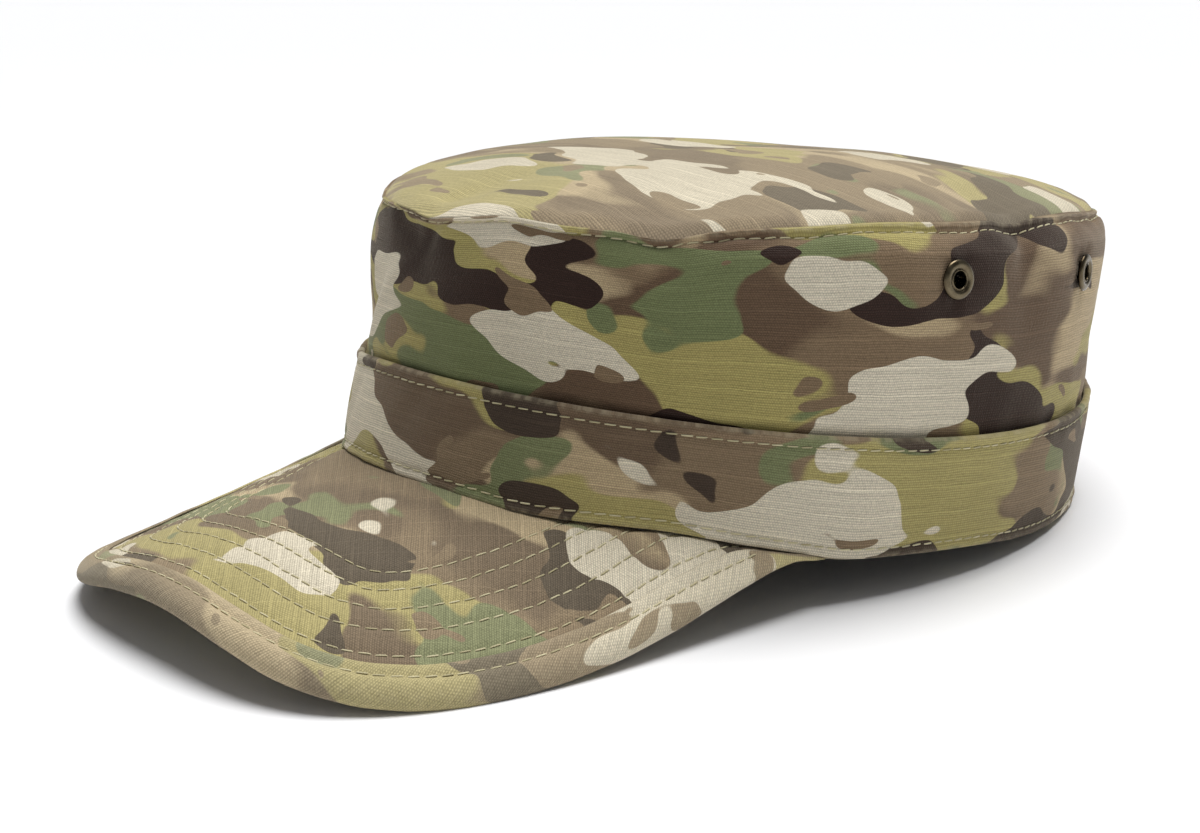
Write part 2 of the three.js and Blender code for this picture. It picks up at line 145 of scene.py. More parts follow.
# Visor: its outline, its thickness, the way its ends run up under the band, and its tape
VISOR_HALF_WIDTH = 74.7
VISOR_FRONT_Y = -173.8
VISOR_SIDE_Y = -42.0
VISOR_SQUARENESS = 3.4
VISOR_THICKNESS = 3.2
VISOR_FLARE = 3.0  # how much wider the visor grows between these two places along its sides
FLARE_STARTS_Y = -95.0
FLARE_ENDS_Y = -49.0
VISOR_END = 60.0  # azimuths past which the visor's cloth and its tape are under the band
TAPE_END = 63.0
SEAM_ROOM = (0.4, 0.8)  # room below the crown's lower edge, before and after these azimuths
ROOM_GROWS = (42, 50)
VISOR_END_LIFT = 1.6  # rise of the visor's sides between these azimuths, where they run up to the band
LIFT_GROWS = (44, 58)
LIFT_REACH = 1.04  # share of the crown's radius at which that rise is complete
NARROWS_FROM = 43  # azimuth from which the visor and its tape become thinner
VISOR_TUCK = 3.2  # how far the visor's cloth runs on under the band
VISOR_SUNK = 0.4  # depth of the visor's body below its upper face, as in the CAD model
VISOR_PADDING = 0.3  # how far the cloth stands up between its rows of stitches
SEAM_BLEND = 0.15  # share of the crown's radius over which the visor turns up to its seam
STITCH_ROWS = [33.0, 27.7, 22.1, 16.1, 9.5]  # distance of each row from the visor's edge
TAPE_WIDTH = 6.9
TAPE_LEAST_WIDTH = 2.3
TAPE_HALF_HEIGHT = 2.55  # half the height of the bound edge
TAPE_NOSE = 2.3  # depth of the rounding of the bound edge
TAPE_WALL = 0.6
TAPE_STITCH = 4.0
TAPE_TAPER = 0.85  # share of the tape's height that is lost where its ends run up into the seam
VISOR_TAPER = 1.3 * TAPE_TAPER
VISOR_LEAST = 0.1  # share of the visor's thickness that is left at its ends

# Height of the visor's upper face over its length and width
VISOR_FACE = {
    "start": 3.0,
    "slope": -0.221,
    "bow": -0.00112,
    "bow_change": 5.0e-6,
    "droop": 0.0039,
    "droop_change": 3.1e-5,
    "droop_bow": -2.3e-7,
    "corner_lift": 2.6e-9,
}

# Rows of stitching on the crown, measured from the nearest edge or seam
SEAM_STITCH = 2.5
BAND_TOP_STITCH = 2.6
BAND_LOW_STITCH = 2.0
BACK_STITCH = 1.9

BACK_SEAM = 0.55  # depth of the pressed seam at the back

EYELETS = {
    "eyelet_left_front": (76.5, 60.3),
    "eyelet_left_back": (107.5, 61.4),
    "eyelet_right_front": (-76.5, 60.3),
    "eyelet_right_back": (-107.5, 61.4),
}  # azimuth, height on the wall

AROUND = 512  # steps round the crown
ALONG_VISOR = 400  # steps along the visor
ROLL_STEPS = 6  # steps round the rolled edge of a folded band


def hump(x, centre, width):
    return np.exp(-(((x - centre) / width) ** 2))


def ease(start, end, x):
    t = np.clip((x - start) / (end - start), 0, 1)
    return t * t * (3 - 2 * t)


def mix(a, b, t):
    return a + (b - a) * t


def turn_between(a, b):
    return (a - b + 540) % 360 - 180


def unit(vectors):
    return vectors / np.linalg.norm(vectors, axis=-1, keepdims=True)


def distance_run(points):
    return np.concatenate([[0], np.cumsum(np.linalg.norm(np.diff(points, axis=0), axis=-1))])


def ripples(points, wavelength, seed, count=14):
    """Smooth random waves through space, from about -1 to 1, read at points."""
    draw = np.random.default_rng(seed)
    directions = unit(draw.normal(size=(count, 3)))
    lengths = wavelength * draw.uniform(0.7, 1.4, count)
    phases = draw.uniform(0, 2 * math.pi, count)
    total = np.zeros(points.shape[:-1])
    for direction, length, phase in zip(directions, lengths, phases):
        total += np.sin(points @ direction * (2 * math.pi / length) + phase)
    return total / math.sqrt(count / 2) * 0.6


# Crown surfaces, as in the CAD model
def read_crown(column, level):
    key = np.array(CROWN["level"])
    value = np.array(CROWN[column])
    slope = np.empty_like(key)
    slope[1:-1] = (value[2:] - value[:-2]) / (key[2:] - key[:-2])
    slope[0] = (value[1] - value[0]) / (key[1] - key[0])
    slope[-1] = (value[-1] - value[-2]) / (key[-1] - key[-2])
    i = np.clip(np.searchsorted(key, level) - 1, 0, len(key) - 2)
    span = key[i + 1] - key[i]
    t = (level - key[i]) / span
    rest = (2 * t**3 - 3 * t**2 + 1) * value[i] + (3 * t**2 - 2 * t**3) * value[i + 1]
    return rest + (t**3 - 2 * t**2 + t) * span * slope[i] + (t**3 - t**2) * span * slope[i + 1]


def waves(rows, azimuth):
    return sum(lift * hump(turn_between(azimuth, centre), 0, width) for centre, width, lift in rows)


def edge_height(edge, azimuth):
    mean, tilt, saddle, rows = edge
    angle = np.radians(azimuth)
    return mean + tilt * np.cos(angle) + saddle * np.cos(2 * angle) + waves(rows, azimuth)


def height_at(azimuth, level):
    rim = edge_height(RIM_EDGE, azimuth)
    band = edge_height(BAND_EDGE, azimuth)
    seam = edge_height(SEAM_EDGE, azimuth)
    return np.where(level <= 1, mix(rim, band, level), mix(band, seam, level - 1))


def fold_depth(rows, azimuth, level):
    total = 0
    for centre, middle, width, height, slant, depth in rows:
        along = turn_between(azimuth, centre + slant * (level - middle))
        total = total + depth * hump(along, 0, width) * hump(level, middle, height)
    return total


def wall_face(azimuth, level):
    azimuth, level = np.broadcast_arrays(np.asarray(azimuth, float), np.asarray(level, float))
    angle = np.radians(azimuth)
    half_width = read_crown("half_width", level)
    half_length = read_crown("half_length", level)
    outward = unit(np.stack([np.sin(angle) / half_width, -np.cos(angle) / half_length], -1))
    depth = fold_depth(WALL_FOLDS, azimuth, level)
    return np.stack([
        half_width * np.sin(angle) - outward[..., 0] * depth,
        -half_length * np.cos(angle) + read_crown("shift", level) - outward[..., 1] * depth,
        height_at(azimuth, level),
    ], -1)


def wall_normal(azimuth, level):
    step, rise = 0.5, 0.02
    low = np.minimum(level, 2 - rise)
    across = wall_face(azimuth + step, level) - wall_face(azimuth - step, level)
    up = wall_face(azimuth, low + rise) - wall_face(azimuth, low)
    normal = unit(np.cross(across, up))
    normal[..., 2] *= ease(1, 1.5, level)
    return unit(normal)


def wall_point(azimuth, level, outward):
    outward = np.broadcast_to(outward, np.broadcast(azimuth, level).shape)
    return wall_face(azimuth, level) + wall_normal(azimuth, level) * outward[..., None]


def settle(points):
    """From the cap's own frame in mm to the table's frame in metres."""
    rim_back = edge_height(RIM_EDGE, 180.0)
    y = points[..., 1] - OUTER_HALF_LENGTH
    z = points[..., 2] - rim_back
    tipped_y = y * math.cos(PITCH) + z * math.sin(PITCH) + OUTER_HALF_LENGTH + MIDDLE_Y
    tipped_z = -y * math.sin(PITCH) + z * math.cos(PITCH) - SINK
    return np.stack([points[..., 0], tipped_y, np.maximum(tipped_z, 0)], -1) * MM


# Length of cloth from the top edge of the band up to each level, along the wall's section
LEVELS = np.linspace(0, 2, 401)
SECTION = wall_face(60.0, LEVELS)
CLOTH_RISE = distance_run(SECTION)
CLOTH_RISE -= np.interp(1, LEVELS, CLOTH_RISE)
WALL_RISE = CLOTH_RISE[-1]


def cloth_rise(level):
    return np.interp(level, LEVELS, CLOTH_RISE)


def level_below_seam(distance):
    return np.interp(WALL_RISE - distance, CLOTH_RISE, LEVELS)


def eyelet_level(azimuth, height):
    low = edge_height(BAND_EDGE, azimuth)
    return 1 + (height - low) / (edge_height(SEAM_EDGE, azimuth) - low)


def back_seam(azimuth):
    """Groove of the seam at the back, with the seam allowance padding one side of it."""
    around = turn_between(azimuth, 180) / 360 * ROUND
    return -BACK_SEAM * hump(around, 0, 0.9) + 0.35 * ease(0.5, 1.6, around) * (1 - ease(7.5, 9, around))


def wall_relief(azimuth, level, face):
    """Small forms of the wall: the padded seam at the top, puckers, soft dents and the eyelets' dimples."""
    down = WALL_RISE - cloth_rise(level)
    up = cloth_rise(level)
    ridge = 1.15 * (1 - ease(1.2, 2.4, down)) * (1 - 0.35 * (1 - ease(0, 0.9, down)))
    valley = -0.32 * hump(down, SEAM_STITCH, 0.6)
    pucker = 0.42 * np.exp(-np.maximum(down - 1.5, 0) / 5) * ripples(face, 9, 3) * ease(0.6, 2.6, down)
    foot = 0.28 * np.exp(-np.maximum(up, 0) / 4) * ripples(face, 11, 4)
    stands_off = 0.35 + 0.65 * ease(12, 30, azimuth) * (1 - ease(70, 95, azimuth))
    foot = foot - 0.75 * hump(up, 0.3, 1.3) * stands_off
    soft = 0.55 * ripples(face, 55, 5) + 0.16 * ripples(face, 19, 6)
    dimples = 0
    for centre, height in EYELETS.values():
        along = turn_between(azimuth, centre) / 360 * ROUND
        rise = up - cloth_rise(eyelet_level(centre, height))
        distance = np.hypot(along, rise)
        spokes = 1 + 0.35 * np.cos(5 * np.arctan2(rise, along) + centre)
        dimples = dimples - 0.55 * hump(distance, 3.5, 3.6) * spokes
    free = ease(0, 4, down) * ease(-3, 4, up)
    creases = fold_depth(CREASES, azimuth, level) * ease(0.5, 4, down)
    at_back = back_seam(azimuth) * ease(0, 3, down)
    return ridge + valley + pucker + foot + soft * free - creases + dimples + at_back


def wall_skin(azimuth, level):
    face = wall_face(azimuth, level)
    relief = wall_relief(azimuth, level, face)
    return face + wall_normal(azimuth, level) * relief[..., None]


def band_height(azimuth):
    return edge_height(BAND_EDGE, azimuth) - edge_height(RIM_EDGE, azimuth)


def band_relief(azimuth, level, face):
    tall = band_height(azimuth)
    down = (1 - level) * tall
    up = level * tall
    upper = 0.25 * (1 - ease(0.4, BAND_TOP_STITCH, down)) - 0.34 * hump(down, BAND_TOP_STITCH, 0.6)
    lower = 0.25 * (1 - ease(0.4, BAND_LOW_STITCH, up)) - 0.3 * hump(up, BAND_LOW_STITCH, 0.6)
    pucker = 0.17 * ripples(face, 8, 7) * (np.exp(-down / 4.5) + np.exp(-up / 4.5))
    soft = 0.3 * ripples(face, 42, 8) * ease(0, 5, down) * ease(0, 5, up)
    creases = fold_depth(BAND_CREASES, azimuth, level) * ease(0, 4, down) * ease(0, 4, up)
    return upper + lower + pucker + soft - creases + back_seam(azimuth)


def band_skin(azimuth, level, extra=0.0):
    face = wall_face(azimuth, level)
    relief = band_relief(azimuth, level, face) + BAND_OUT + extra
    return face + wall_normal(azimuth, level) * relief[..., None]


def top_face(azimuth, radius, lift):
    angle = np.radians(azimuth)
    dent = 0
    for centre, middle, width, reach, depth in TOP_DENTS + TOP_CREASES:
        dent = dent + depth * hump(turn_between(azimuth, centre), 0, width) * hump(radius, middle, reach)
    mean, tilt, saddle, rows = SEAM_EDGE
    base = mean + tilt * radius * np.cos(angle) + saddle * radius**2 * np.cos(2 * angle)
    height = base + waves(rows, azimuth) * radius**8 + DOME * (1 - radius**DOME_POWER)
    return np.stack([
        radius * (CROWN["half_width"][-1] + SEAM_RIDGE) * np.sin(angle),
        -radius * (CROWN["half_length"][-1] + SEAM_RIDGE) * np.cos(angle) + CROWN["shift"][-1],
        height - dent * (1 - ease(0.93, 1, radius)) + lift,
    ], -1)


# Visor surfaces
def plain_visor_height(x, y):
    face = VISOR_FACE
    ahead = -y - OUTER_HALF_LENGTH
    droop = face["droop"] + face["droop_change"] * ahead + face["droop_bow"] * ahead**2
    middle = face["start"] + face["slope"] * ahead + face["bow"] * ahead**2 + face["bow_change"] * ahead**3
    return middle - droop * x**2 + face["corner_lift"] * ahead * x**4


def crown_plan(azimuth, reach):
    """Points of the plan at an azimuth and at a share of the crown's outer radius."""
    angle = np.radians(azimuth)
    x = OUTER_HALF_WIDTH * reach * np.sin(angle)
    y = -OUTER_HALF_LENGTH * reach * np.cos(angle)
    return np.stack([x, y], -1)


def plan_azimuth(x, y):
    return np.degrees(np.arctan2(x / OUTER_HALF_WIDTH, -y / OUTER_HALF_LENGTH))


def visor_height(x, y):
    """Upper face of the visor, turned up to its seam under the band."""
    azimuth = plan_azimuth(x, y)
    reach = np.hypot(x / OUTER_HALF_WIDTH, y / OUTER_HALF_LENGTH)
    seam = crown_plan(azimuth, 1.0)
    room = mix(*SEAM_ROOM, ease(*ROOM_GROWS, np.abs(azimuth)))
    seam_top = edge_height(RIM_EDGE, azimuth) - room
    mismatch = seam_top - plain_visor_height(seam[..., 0], seam[..., 1])
    lift = VISOR_END_LIFT * ease(*LIFT_GROWS, np.abs(azimuth)) * ease(1, LIFT_REACH, reach)
    outer = plain_visor_height(x, y) + mismatch * hump(reach, 1, SEAM_BLEND) + lift
    return np.where(reach <= 1, seam_top, outer)


def outline_reach(azimuth, inset=0.0):
    """Share of the crown's radius at which a ray from the crown's middle leaves the visor's outline."""
    near = np.full(np.shape(azimuth), 0.5)
    far = np.full(np.shape(azimuth), 2.5)
    for _ in range(40):
        middle = (near + far) / 2
        plan = crown_plan(azimuth, middle)
        flare = VISOR_FLARE * ease(FLARE_STARTS_Y, FLARE_ENDS_Y, plan[..., 1])
        across = np.abs(plan[..., 0]) / (VISOR_HALF_WIDTH + flare - inset)
        ahead = np.maximum(VISOR_SIDE_Y - plan[..., 1], 0) / (VISOR_SIDE_Y - VISOR_FRONT_Y - inset)
        inside = across**VISOR_SQUARENESS + ahead**VISOR_SQUARENESS < 1
        near = np.where(inside, middle, near)
        far = np.where(inside, far, middle)
    return near


OUTLINE_AZIMUTHS = np.linspace(-72, 72, 900)
OUTLINE = crown_plan(OUTLINE_AZIMUTHS, outline_reach(OUTLINE_AZIMUTHS))


def edge_distance(plan):
    """Distance of each point of the visor's plan from the visor's outline."""
    flat = plan.reshape(-1, 2)
    nearest = [
        np.sqrt(((part[:, None, :] - OUTLINE[None]) ** 2).sum(-1).min(1))
        for part in np.array_split(flat, max(len(flat) // 4000, 1))
    ]
    return np.concatenate(nearest).reshape(plan.shape[:-1])


def quilting(distance, plan):
    """Rows of stitching pull the visor's cloth down and leave it padded between them."""
    valley = 0
    for row in STITCH_ROWS:
        valley = valley + 0.34 * hump(distance, row, 0.75) + 0.16 * hump(distance, row, 2.0)
    spread = np.concatenate([plan, np.zeros(plan.shape[:-1] + (1,))], -1)
    rumples = 0.14 * ripples(spread, 7, 9) * hump(distance, 20, 16) + 0.3 * ripples(spread, 48, 10)
    return rumples * ease(1.0, 6.0, distance) - valley


def narrowing(azimuth):
    """How far the visor's sides have thinned towards the seam, from 0 to 1."""
    return ease(NARROWS_FROM, TAPE_END - 1, np.abs(azimuth))


def visor_thickness(plan):
    azimuth = plan_azimuth(plan[..., 0], plan[..., 1])
    return VISOR_THICKNESS * np.maximum(1 - VISOR_TAPER * narrowing(azimuth), VISOR_LEAST)


def visor_skin(plan, side=1):
    """Cloth on the visor's upper face, or on its lower one where side is -1."""
    height = visor_height(plan[..., 0], plan[..., 1])
    relief = quilting(edge_distance(plan), plan)
    if side > 0:
        z = height - VISOR_SUNK + VISOR_PADDING + relief
    else:
        z = height - VISOR_SUNK - visor_thickness(plan) - relief
    return np.concatenate([plan, z[..., None]], -1)


# Meshes
def grid_mesh(name, points, cloth, finish, wrap_rows=False, wrap_columns=False, caps=False, weld=False):
    """Smooth mesh over a grid of points (rows, columns, 3) in the cap's own frame.

    cloth is each point's place on the flat cloth in mm, and finish its wear and whether it is the cloth's
    reverse side. Both have one more row or column than points where the grid closes on itself.
    """
    rows, columns = points.shape[:2]
    row_steps = np.arange(rows - 1 + wrap_rows)
    column_steps = np.arange(columns - 1 + wrap_columns)
    r, c = np.meshgrid(row_steps, column_steps, indexing="ij")
    corner_rows = np.stack([r, r + 1, r + 1, r], -1).reshape(-1, 4)
    corner_columns = np.stack([c, c, c + 1, c + 1], -1).reshape(-1, 4)
    faces = ((corner_rows % rows) * columns + corner_columns % columns).tolist()
    spots = (corner_rows * cloth.shape[1] + corner_columns).ravel()
    if caps:
        for row in (0, rows - 1):
            faces.append([row * columns + k for k in range(columns)])
            spots = np.concatenate([spots, row * cloth.shape[1] + np.arange(columns)])
    return smooth_piece(name, points, faces, spots, {"cloth": cloth, "finish": finish}, weld)


def smooth_piece(name, points, faces, spots, maps, weld=False):
    """Smooth mesh whose face corners read the given spots of each UV map."""
    mesh = bpy.data.meshes.new(name)
    mesh.from_pydata(settle(points).reshape(-1, 3).tolist(), [], faces)
    for map_name, values in maps.items():
        layer = mesh.uv_layers.new(name=map_name)
        layer.uv.foreach_set("vector", values.reshape(-1, 2)[spots].astype(np.float32).ravel())
    work = bmesh.new()
    work.from_mesh(mesh)
    if weld:
        bmesh.ops.remove_doubles(work, verts=work.verts, dist=1e-7)
    bmesh.ops.recalc_face_normals(work, faces=work.faces)
    for face in work.faces:
        face.smooth = True
    work.to_mesh(mesh)
    work.free()
    return linked(name, mesh)


def linked(name, data):
    item = bpy.data.objects.new(name, data)
    bpy.context.scene.collection.objects.link(item)
    return item


def layers(*columns):
    """Two numbers for each point of a grid, from two arrays."""
    return np.stack(np.broadcast_arrays(*columns), -1)


def closed(values):
    """Values of a grid with its first column repeated at the end."""
    return np.concatenate([values, values[:, :1]], 1)


def dress(piece, material, replaces=None):
    piece.data.materials.append(material)
    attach(piece, "root")
    if replaces:
        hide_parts(replaces)
    return piece


STATIONS = np.linspace(-180, 180, AROUND + 1)[:, None]


def ring_piece(name, points, cloth_v, wear, inside):
    """Closed ring of cloth; its grid starts and ends at the seam at the back."""
    shape = points.shape[:2]
    cloth = layers(STATIONS / 360 * ROUND, closed(np.broadcast_to(cloth_v, shape)))
    finish = layers(closed(np.broadcast_to(wear, shape)), closed(np.broadcast_to(inside, shape)))
    return grid_mesh(name, points[:-1], cloth, finish, wrap_rows=True, wrap_columns=True)


def crown_wall():
    outer = np.concatenate([np.linspace(0, 0.9, 5), np.linspace(0.94, 1.86, 62), np.linspace(1.865, 2, 34)])
    inner = np.concatenate([np.linspace(2, 1.8, 6), np.linspace(1.7, 0, 12)])
    skin = wall_skin(STATIONS, outer[None])
    edge_offsets = np.array([0.35, -0.1, -0.6, -1.1])
    edge = wall_point(STATIONS, np.full((1, 4), 2.0), edge_offsets[None])
    back = wall_point(STATIONS, inner[None], -WALL)
    points = np.concatenate([skin, edge, back], 1)
    levels = np.concatenate([outer, np.full(4, 2.0), inner])[None]
    down = WALL_RISE - cloth_rise(levels)
    is_outer = np.concatenate([np.ones(len(outer)), np.zeros(4 + len(inner))])[None]
    wear = hump(down, 1.0, 0.7) * is_outer
    return ring_piece("crown_wall", points, cloth_rise(levels), wear, 1 - is_outer)


def rolled_ring(name, skin, reverse, levels, tall, roll):
    """Ring of folded cloth: its outer skin, a rolled top edge, its reverse and a rolled lower edge."""
    turns = np.radians(np.linspace(20, 160, ROLL_STEPS))

    def rolled_edge(start, end, rise):
        steps = [mix(start, end, (1 - math.cos(a)) / 2) + [0, 0, rise * math.sin(a)] for a in turns]
        return np.stack(steps, 1)

    inner_levels = levels[::-1][::4]
    outer = skin(levels)
    inner = reverse(inner_levels)
    top = rolled_edge(outer[:, -1], inner[:, 0], roll / 2)
    low = rolled_edge(inner[:, -1], outer[:, 0], -roll / 2)
    points = np.concatenate([outer, top, inner, low], 1)
    level_of = np.concatenate([levels, np.ones(ROLL_STEPS), inner_levels, np.zeros(ROLL_STEPS)])[None]
    before = np.zeros(len(levels) + ROLL_STEPS)
    is_inner = np.concatenate([before, np.ones(len(inner_levels)), np.zeros(ROLL_STEPS)])[None]
    wear = hump((1 - level_of) * tall, 0, 0.8) + hump(level_of * tall, 0, 0.8)
    return ring_piece(name, points, level_of * tall, wear * (1 - is_inner), is_inner)


def crown_band():
    levels = np.linspace(0.02, 0.98, 45)
    skin = lambda at: band_skin(STATIONS, at[None])
    reverse = lambda at: wall_point(STATIONS, at[None], GAP)
    return rolled_ring("crown_band", skin, reverse, levels, BAND_EDGE[0], BAND)


def sweatband_drop(azimuth):
    drop = SWEATBAND_DROP
    behind = ease(drop["from"], drop["to"], np.abs(turn_between(azimuth, 0)))
    return drop["least"] + drop["more"] * (1 - behind)


def sweatband():
    levels = np.linspace(0.03, 0.97, 29)

    def face(offset, seed):
        def at_levels(at):
            base = wall_face(STATIONS, at[None])
            soft = 0.3 * ripples(base, 16, seed) * ease(0.05, 0.4, at)
            points = wall_point(STATIONS, at[None], offset + soft)
            drop = sweatband_drop(STATIONS) * (1 - ease(0, 0.2, at[None]))
            return points - drop[..., None] * np.array([0, 0, 1])
        return at_levels

    inner = face(SWEATBAND_OUT - SWEATBAND, 11)
    outer = face(SWEATBAND_OUT, 12)
    return rolled_ring("sweatband_cloth", inner, outer, levels, BAND_EDGE[0], SWEATBAND)


def top_cloth():
    radii = np.concatenate([np.linspace(0, 0.93, 76), np.linspace(0.935, TOP_EDGE, 22)])
    under = np.linspace(TOP_EDGE, 0, 16)
    half = CROWN["half_width"][-1]
    inset = (TOP_EDGE - radii)[None] * half
    rounding = 1 - np.clip(1 - inset / TOP_ROLL, 0, 1) ** 2
    lift = GAP - TOP_SUNK + (TOP_PANEL + TOP_SUNK) * rounding
    face = top_face(STATIONS, radii[None], lift)
    soft = 0.45 * ripples(face, 60, 13) + 0.12 * ripples(face, 22, 14)
    pucker = 0.4 * np.exp(-inset / 6) * ripples(face, 10, 15) * ease(0.2, 2.5, inset)
    face[..., 2] += soft * ease(0, 8, inset) + pucker
    back = top_face(STATIONS, under[None], GAP - TOP_SUNK)
    points = np.concatenate([face, back], 1)
    inside = np.concatenate([np.zeros(len(radii)), np.ones(len(under))])[None]
    shape = points.shape[:2]
    finish = layers(0, np.broadcast_to(inside, shape))
    return grid_mesh("top_cloth", points[:-1], points[..., :2], finish, wrap_rows=True, weld=True)


VISOR_STATIONS = np.linspace(-VISOR_END, VISOR_END, ALONG_VISOR + 1)
TAPE_STATIONS = np.linspace(-TAPE_END, TAPE_END, ALONG_VISOR + 1)


def visor_plan(shares, inset):
    """Points of the visor's plan along rays from the crown's middle, from under the band to the edge."""
    start = 1 - VISOR_TUCK / np.linalg.norm(crown_plan(VISOR_STATIONS, 1.0), axis=-1)
    end = np.maximum(outline_reach(VISOR_STATIONS, inset), start + 0.002)
    return crown_plan(VISOR_STATIONS[:, None], mix(start[:, None], end[:, None], shares[None]))


def visor_cloth():
    upper = visor_skin(visor_plan(np.linspace(0, 1, 125), 1.6))
    lower = visor_skin(visor_plan(np.linspace(1, 0, 90), 1.6), side=-1)
    points = np.concatenate([upper, lower], 1)
    cloth = closed(points)[..., :2]
    finish = np.zeros(cloth.shape)
    return grid_mesh("visor_cloth", points, cloth, finish, wrap_columns=True, caps=True)


def tape_frames():
    """Stations along the visor's edge: place, direction into the visor, width of the tape, distance run."""
    edge = crown_plan(TAPE_STATIONS, outline_reach(TAPE_STATIONS))
    ahead = crown_plan(TAPE_STATIONS + 0.3, outline_reach(TAPE_STATIONS + 0.3))
    behind = crown_plan(TAPE_STATIONS - 0.3, outline_reach(TAPE_STATIONS - 0.3))
    along = unit(ahead - behind)
    inward = np.stack([-along[:, 1], along[:, 0]], -1)
    room = np.linalg.norm(edge, axis=-1) - np.linalg.norm(crown_plan(TAPE_STATIONS, 1.0), axis=-1)
    run = distance_run(edge)
    return edge, inward, np.clip(room, TAPE_LEAST_WIDTH, TAPE_WIDTH), run


def tape_half_height(azimuth):
    return TAPE_HALF_HEIGHT * (1 - TAPE_TAPER * narrowing(azimuth))


def tape_middle(azimuth):
    """Height of the middle of the tape's edge over the visor's upper face."""
    top = TAPE_HALF_HEIGHT - VISOR_SUNK - VISOR_THICKNESS / 2
    return top - tape_half_height(azimuth)


def tape_profile(inset, width, half_height):
    """Height of the tape's outer face over the middle of the visor's edge, at a distance from the edge."""
    nose = np.clip((TAPE_NOSE - inset) / TAPE_NOSE, 0, 1)
    flat = half_height * np.sqrt(1 - nose**2)
    valley = 0.4 * hump(inset, TAPE_STITCH, 0.7) * ease(TAPE_STITCH + 0.6, TAPE_STITCH + 1.6, width)
    puff = 0.22 * hump(inset, 2.4, 1.2) + 0.14 * hump(inset, width - 1.1, 0.8)
    lip = 0.4 * ease(width - 0.7, width, inset)
    return flat + (puff - valley - lip) * half_height / TAPE_HALF_HEIGHT


def visor_tape():
    edge, inward, width, run = tape_frames()
    nose = TAPE_NOSE * (1 - np.cos(np.radians(np.linspace(0, 90, 11))))
    rows = []
    marks = []
    for k, azimuth in enumerate(TAPE_STATIONS):
        straight = np.linspace(TAPE_NOSE, width[k] + 0.01, 16)[1:]
        inset = np.concatenate([nose, straight])
        tall = tape_profile(inset, width[k], tape_half_height(azimuth))
        under = np.maximum(inset, TAPE_WALL)
        lining = np.maximum(tall - TAPE_WALL, tall * 0.4)
        insets = np.concatenate([inset[::-1], inset[1:], under[::-1], under[1:]])
        heights = np.concatenate([tall[::-1], -tall[1:], -lining[::-1], lining[1:]])
        plan = edge[k] + inward[k] * insets[:, None]
        level = visor_height(plan[:, 0], plan[:, 1])
        rows.append(np.concatenate([plan, (level + tape_middle(azimuth) + heights)[:, None]], -1))
        across = distance_run(np.stack([insets, heights], -1))
        marks.append(np.stack([np.full(len(insets), run[k]), across - across[len(inset) - 1]], -1))
    points = np.stack(rows)
    points[..., 2] += ripples(points, 13, 16) * 0.1
    cloth = closed(np.stack(marks))
    finish = layers(hump(cloth[..., 1], -1.0, 2.2) * 0.4, 0)
    return grid_mesh("visor_tape", points, cloth, finish, wrap_columns=True, caps=True)


# Thread
THREAD_RADIUS = 0.175
THREAD_SPREAD = 1.15  # how much wider than high the pressed thread is
THREAD_SIDES = 6
STITCH_PITCH = 3.4
STITCH_LENGTH = 3.1
STITCH_STEPS = 7
STITCH_SLANT = 0.1


def thread_row(points, normals, rng):
    """Centre lines (stitches, steps, 3) of a row of stitches along a path, and the normals there."""
    run = distance_run(points)
    count = int((run[-1] - STITCH_LENGTH) // STITCH_PITCH)
    first = (run[-1] - (count - 1) * STITCH_PITCH - STITCH_LENGTH) / 2
    starts = np.arange(count) * STITCH_PITCH + first
    starts = starts + rng.uniform(-0.12, 0.12, count)
    t = np.linspace(0, 1, STITCH_STEPS)
    at = starts[:, None] + STITCH_LENGTH * rng.uniform(0.93, 1.05, count)[:, None] * t[None]
    read = lambda values: np.stack([np.interp(at, run, values[:, k]) for k in range(3)], -1)
    centre = read(points)
    normal = unit(read(normals))
    tangent = unit(np.gradient(centre, axis=1))
    side = np.cross(normal, tangent)
    ends = np.abs(2 * t - 1)
    lift = 0.15 - 0.48 * ends**8 + rng.uniform(-0.03, 0.03, (count, 1))
    sideways = (STITCH_SLANT + rng.uniform(-0.07, 0.07, (count, 1))) * (2 * t - 1)[None]
    return centre + normal * lift[..., None] + side * sideways[..., None], normal


def thread_mesh(name, rows):
    """One mesh of every stitch in the given rows: short rounded lengths of thread."""
    centre = np.concatenate([row[0] for row in rows])
    normal = np.concatenate([row[1] for row in rows])
    count, steps = centre.shape[:2]
    sides = THREAD_SIDES
    tangent = unit(np.gradient(centre, axis=1))
    side = unit(np.cross(normal, tangent))
    upward = np.cross(tangent, side)
    t = np.abs(np.linspace(-1, 1, steps))
    radius = THREAD_RADIUS * (1 - 0.55 * t**6)
    angles = np.arange(sides) * 2 * math.pi / sides
    sideways = side[:, :, None] * np.sin(angles)[:, None] * THREAD_SPREAD
    around = upward[:, :, None] * np.cos(angles)[:, None] + sideways
    points = centre[:, :, None] + around * radius[None, :, None, None]
    ring = np.arange(sides)
    beside = (ring + 1) % sides
    quads = []
    for step in range(steps - 1):
        low = step * sides
        high = low + sides
        quads.append(np.stack([low + ring, low + beside, high + beside, high + ring], -1))
    quads = np.concatenate(quads)
    first = np.arange(count)[:, None, None] * (steps * sides)
    faces = (first + quads[None]).reshape(-1, 4).tolist()
    for stitch in range(count):
        start = stitch * steps * sides
        last = start + (steps - 1) * sides
        faces.append([start + k for k in reversed(range(sides))])
        faces.append([last + k for k in range(sides)])
    tone = np.random.default_rng(count).uniform(size=count)
    # The first value is each point's place along its stitch, 0 in the middle and 1 at the ends. The
    # thread's material uses it to paint the shade of the needle holes at the ends. The second value is the
    # stitch's random tone.
    marks = layers(t[None, :, None], tone[:, None, None])
    marks = np.broadcast_to(marks, (count, steps, sides, 2))
    spots = np.concatenate([np.array(face) for face in faces])
    return smooth_piece(name, points, faces, spots, {"finish": marks})


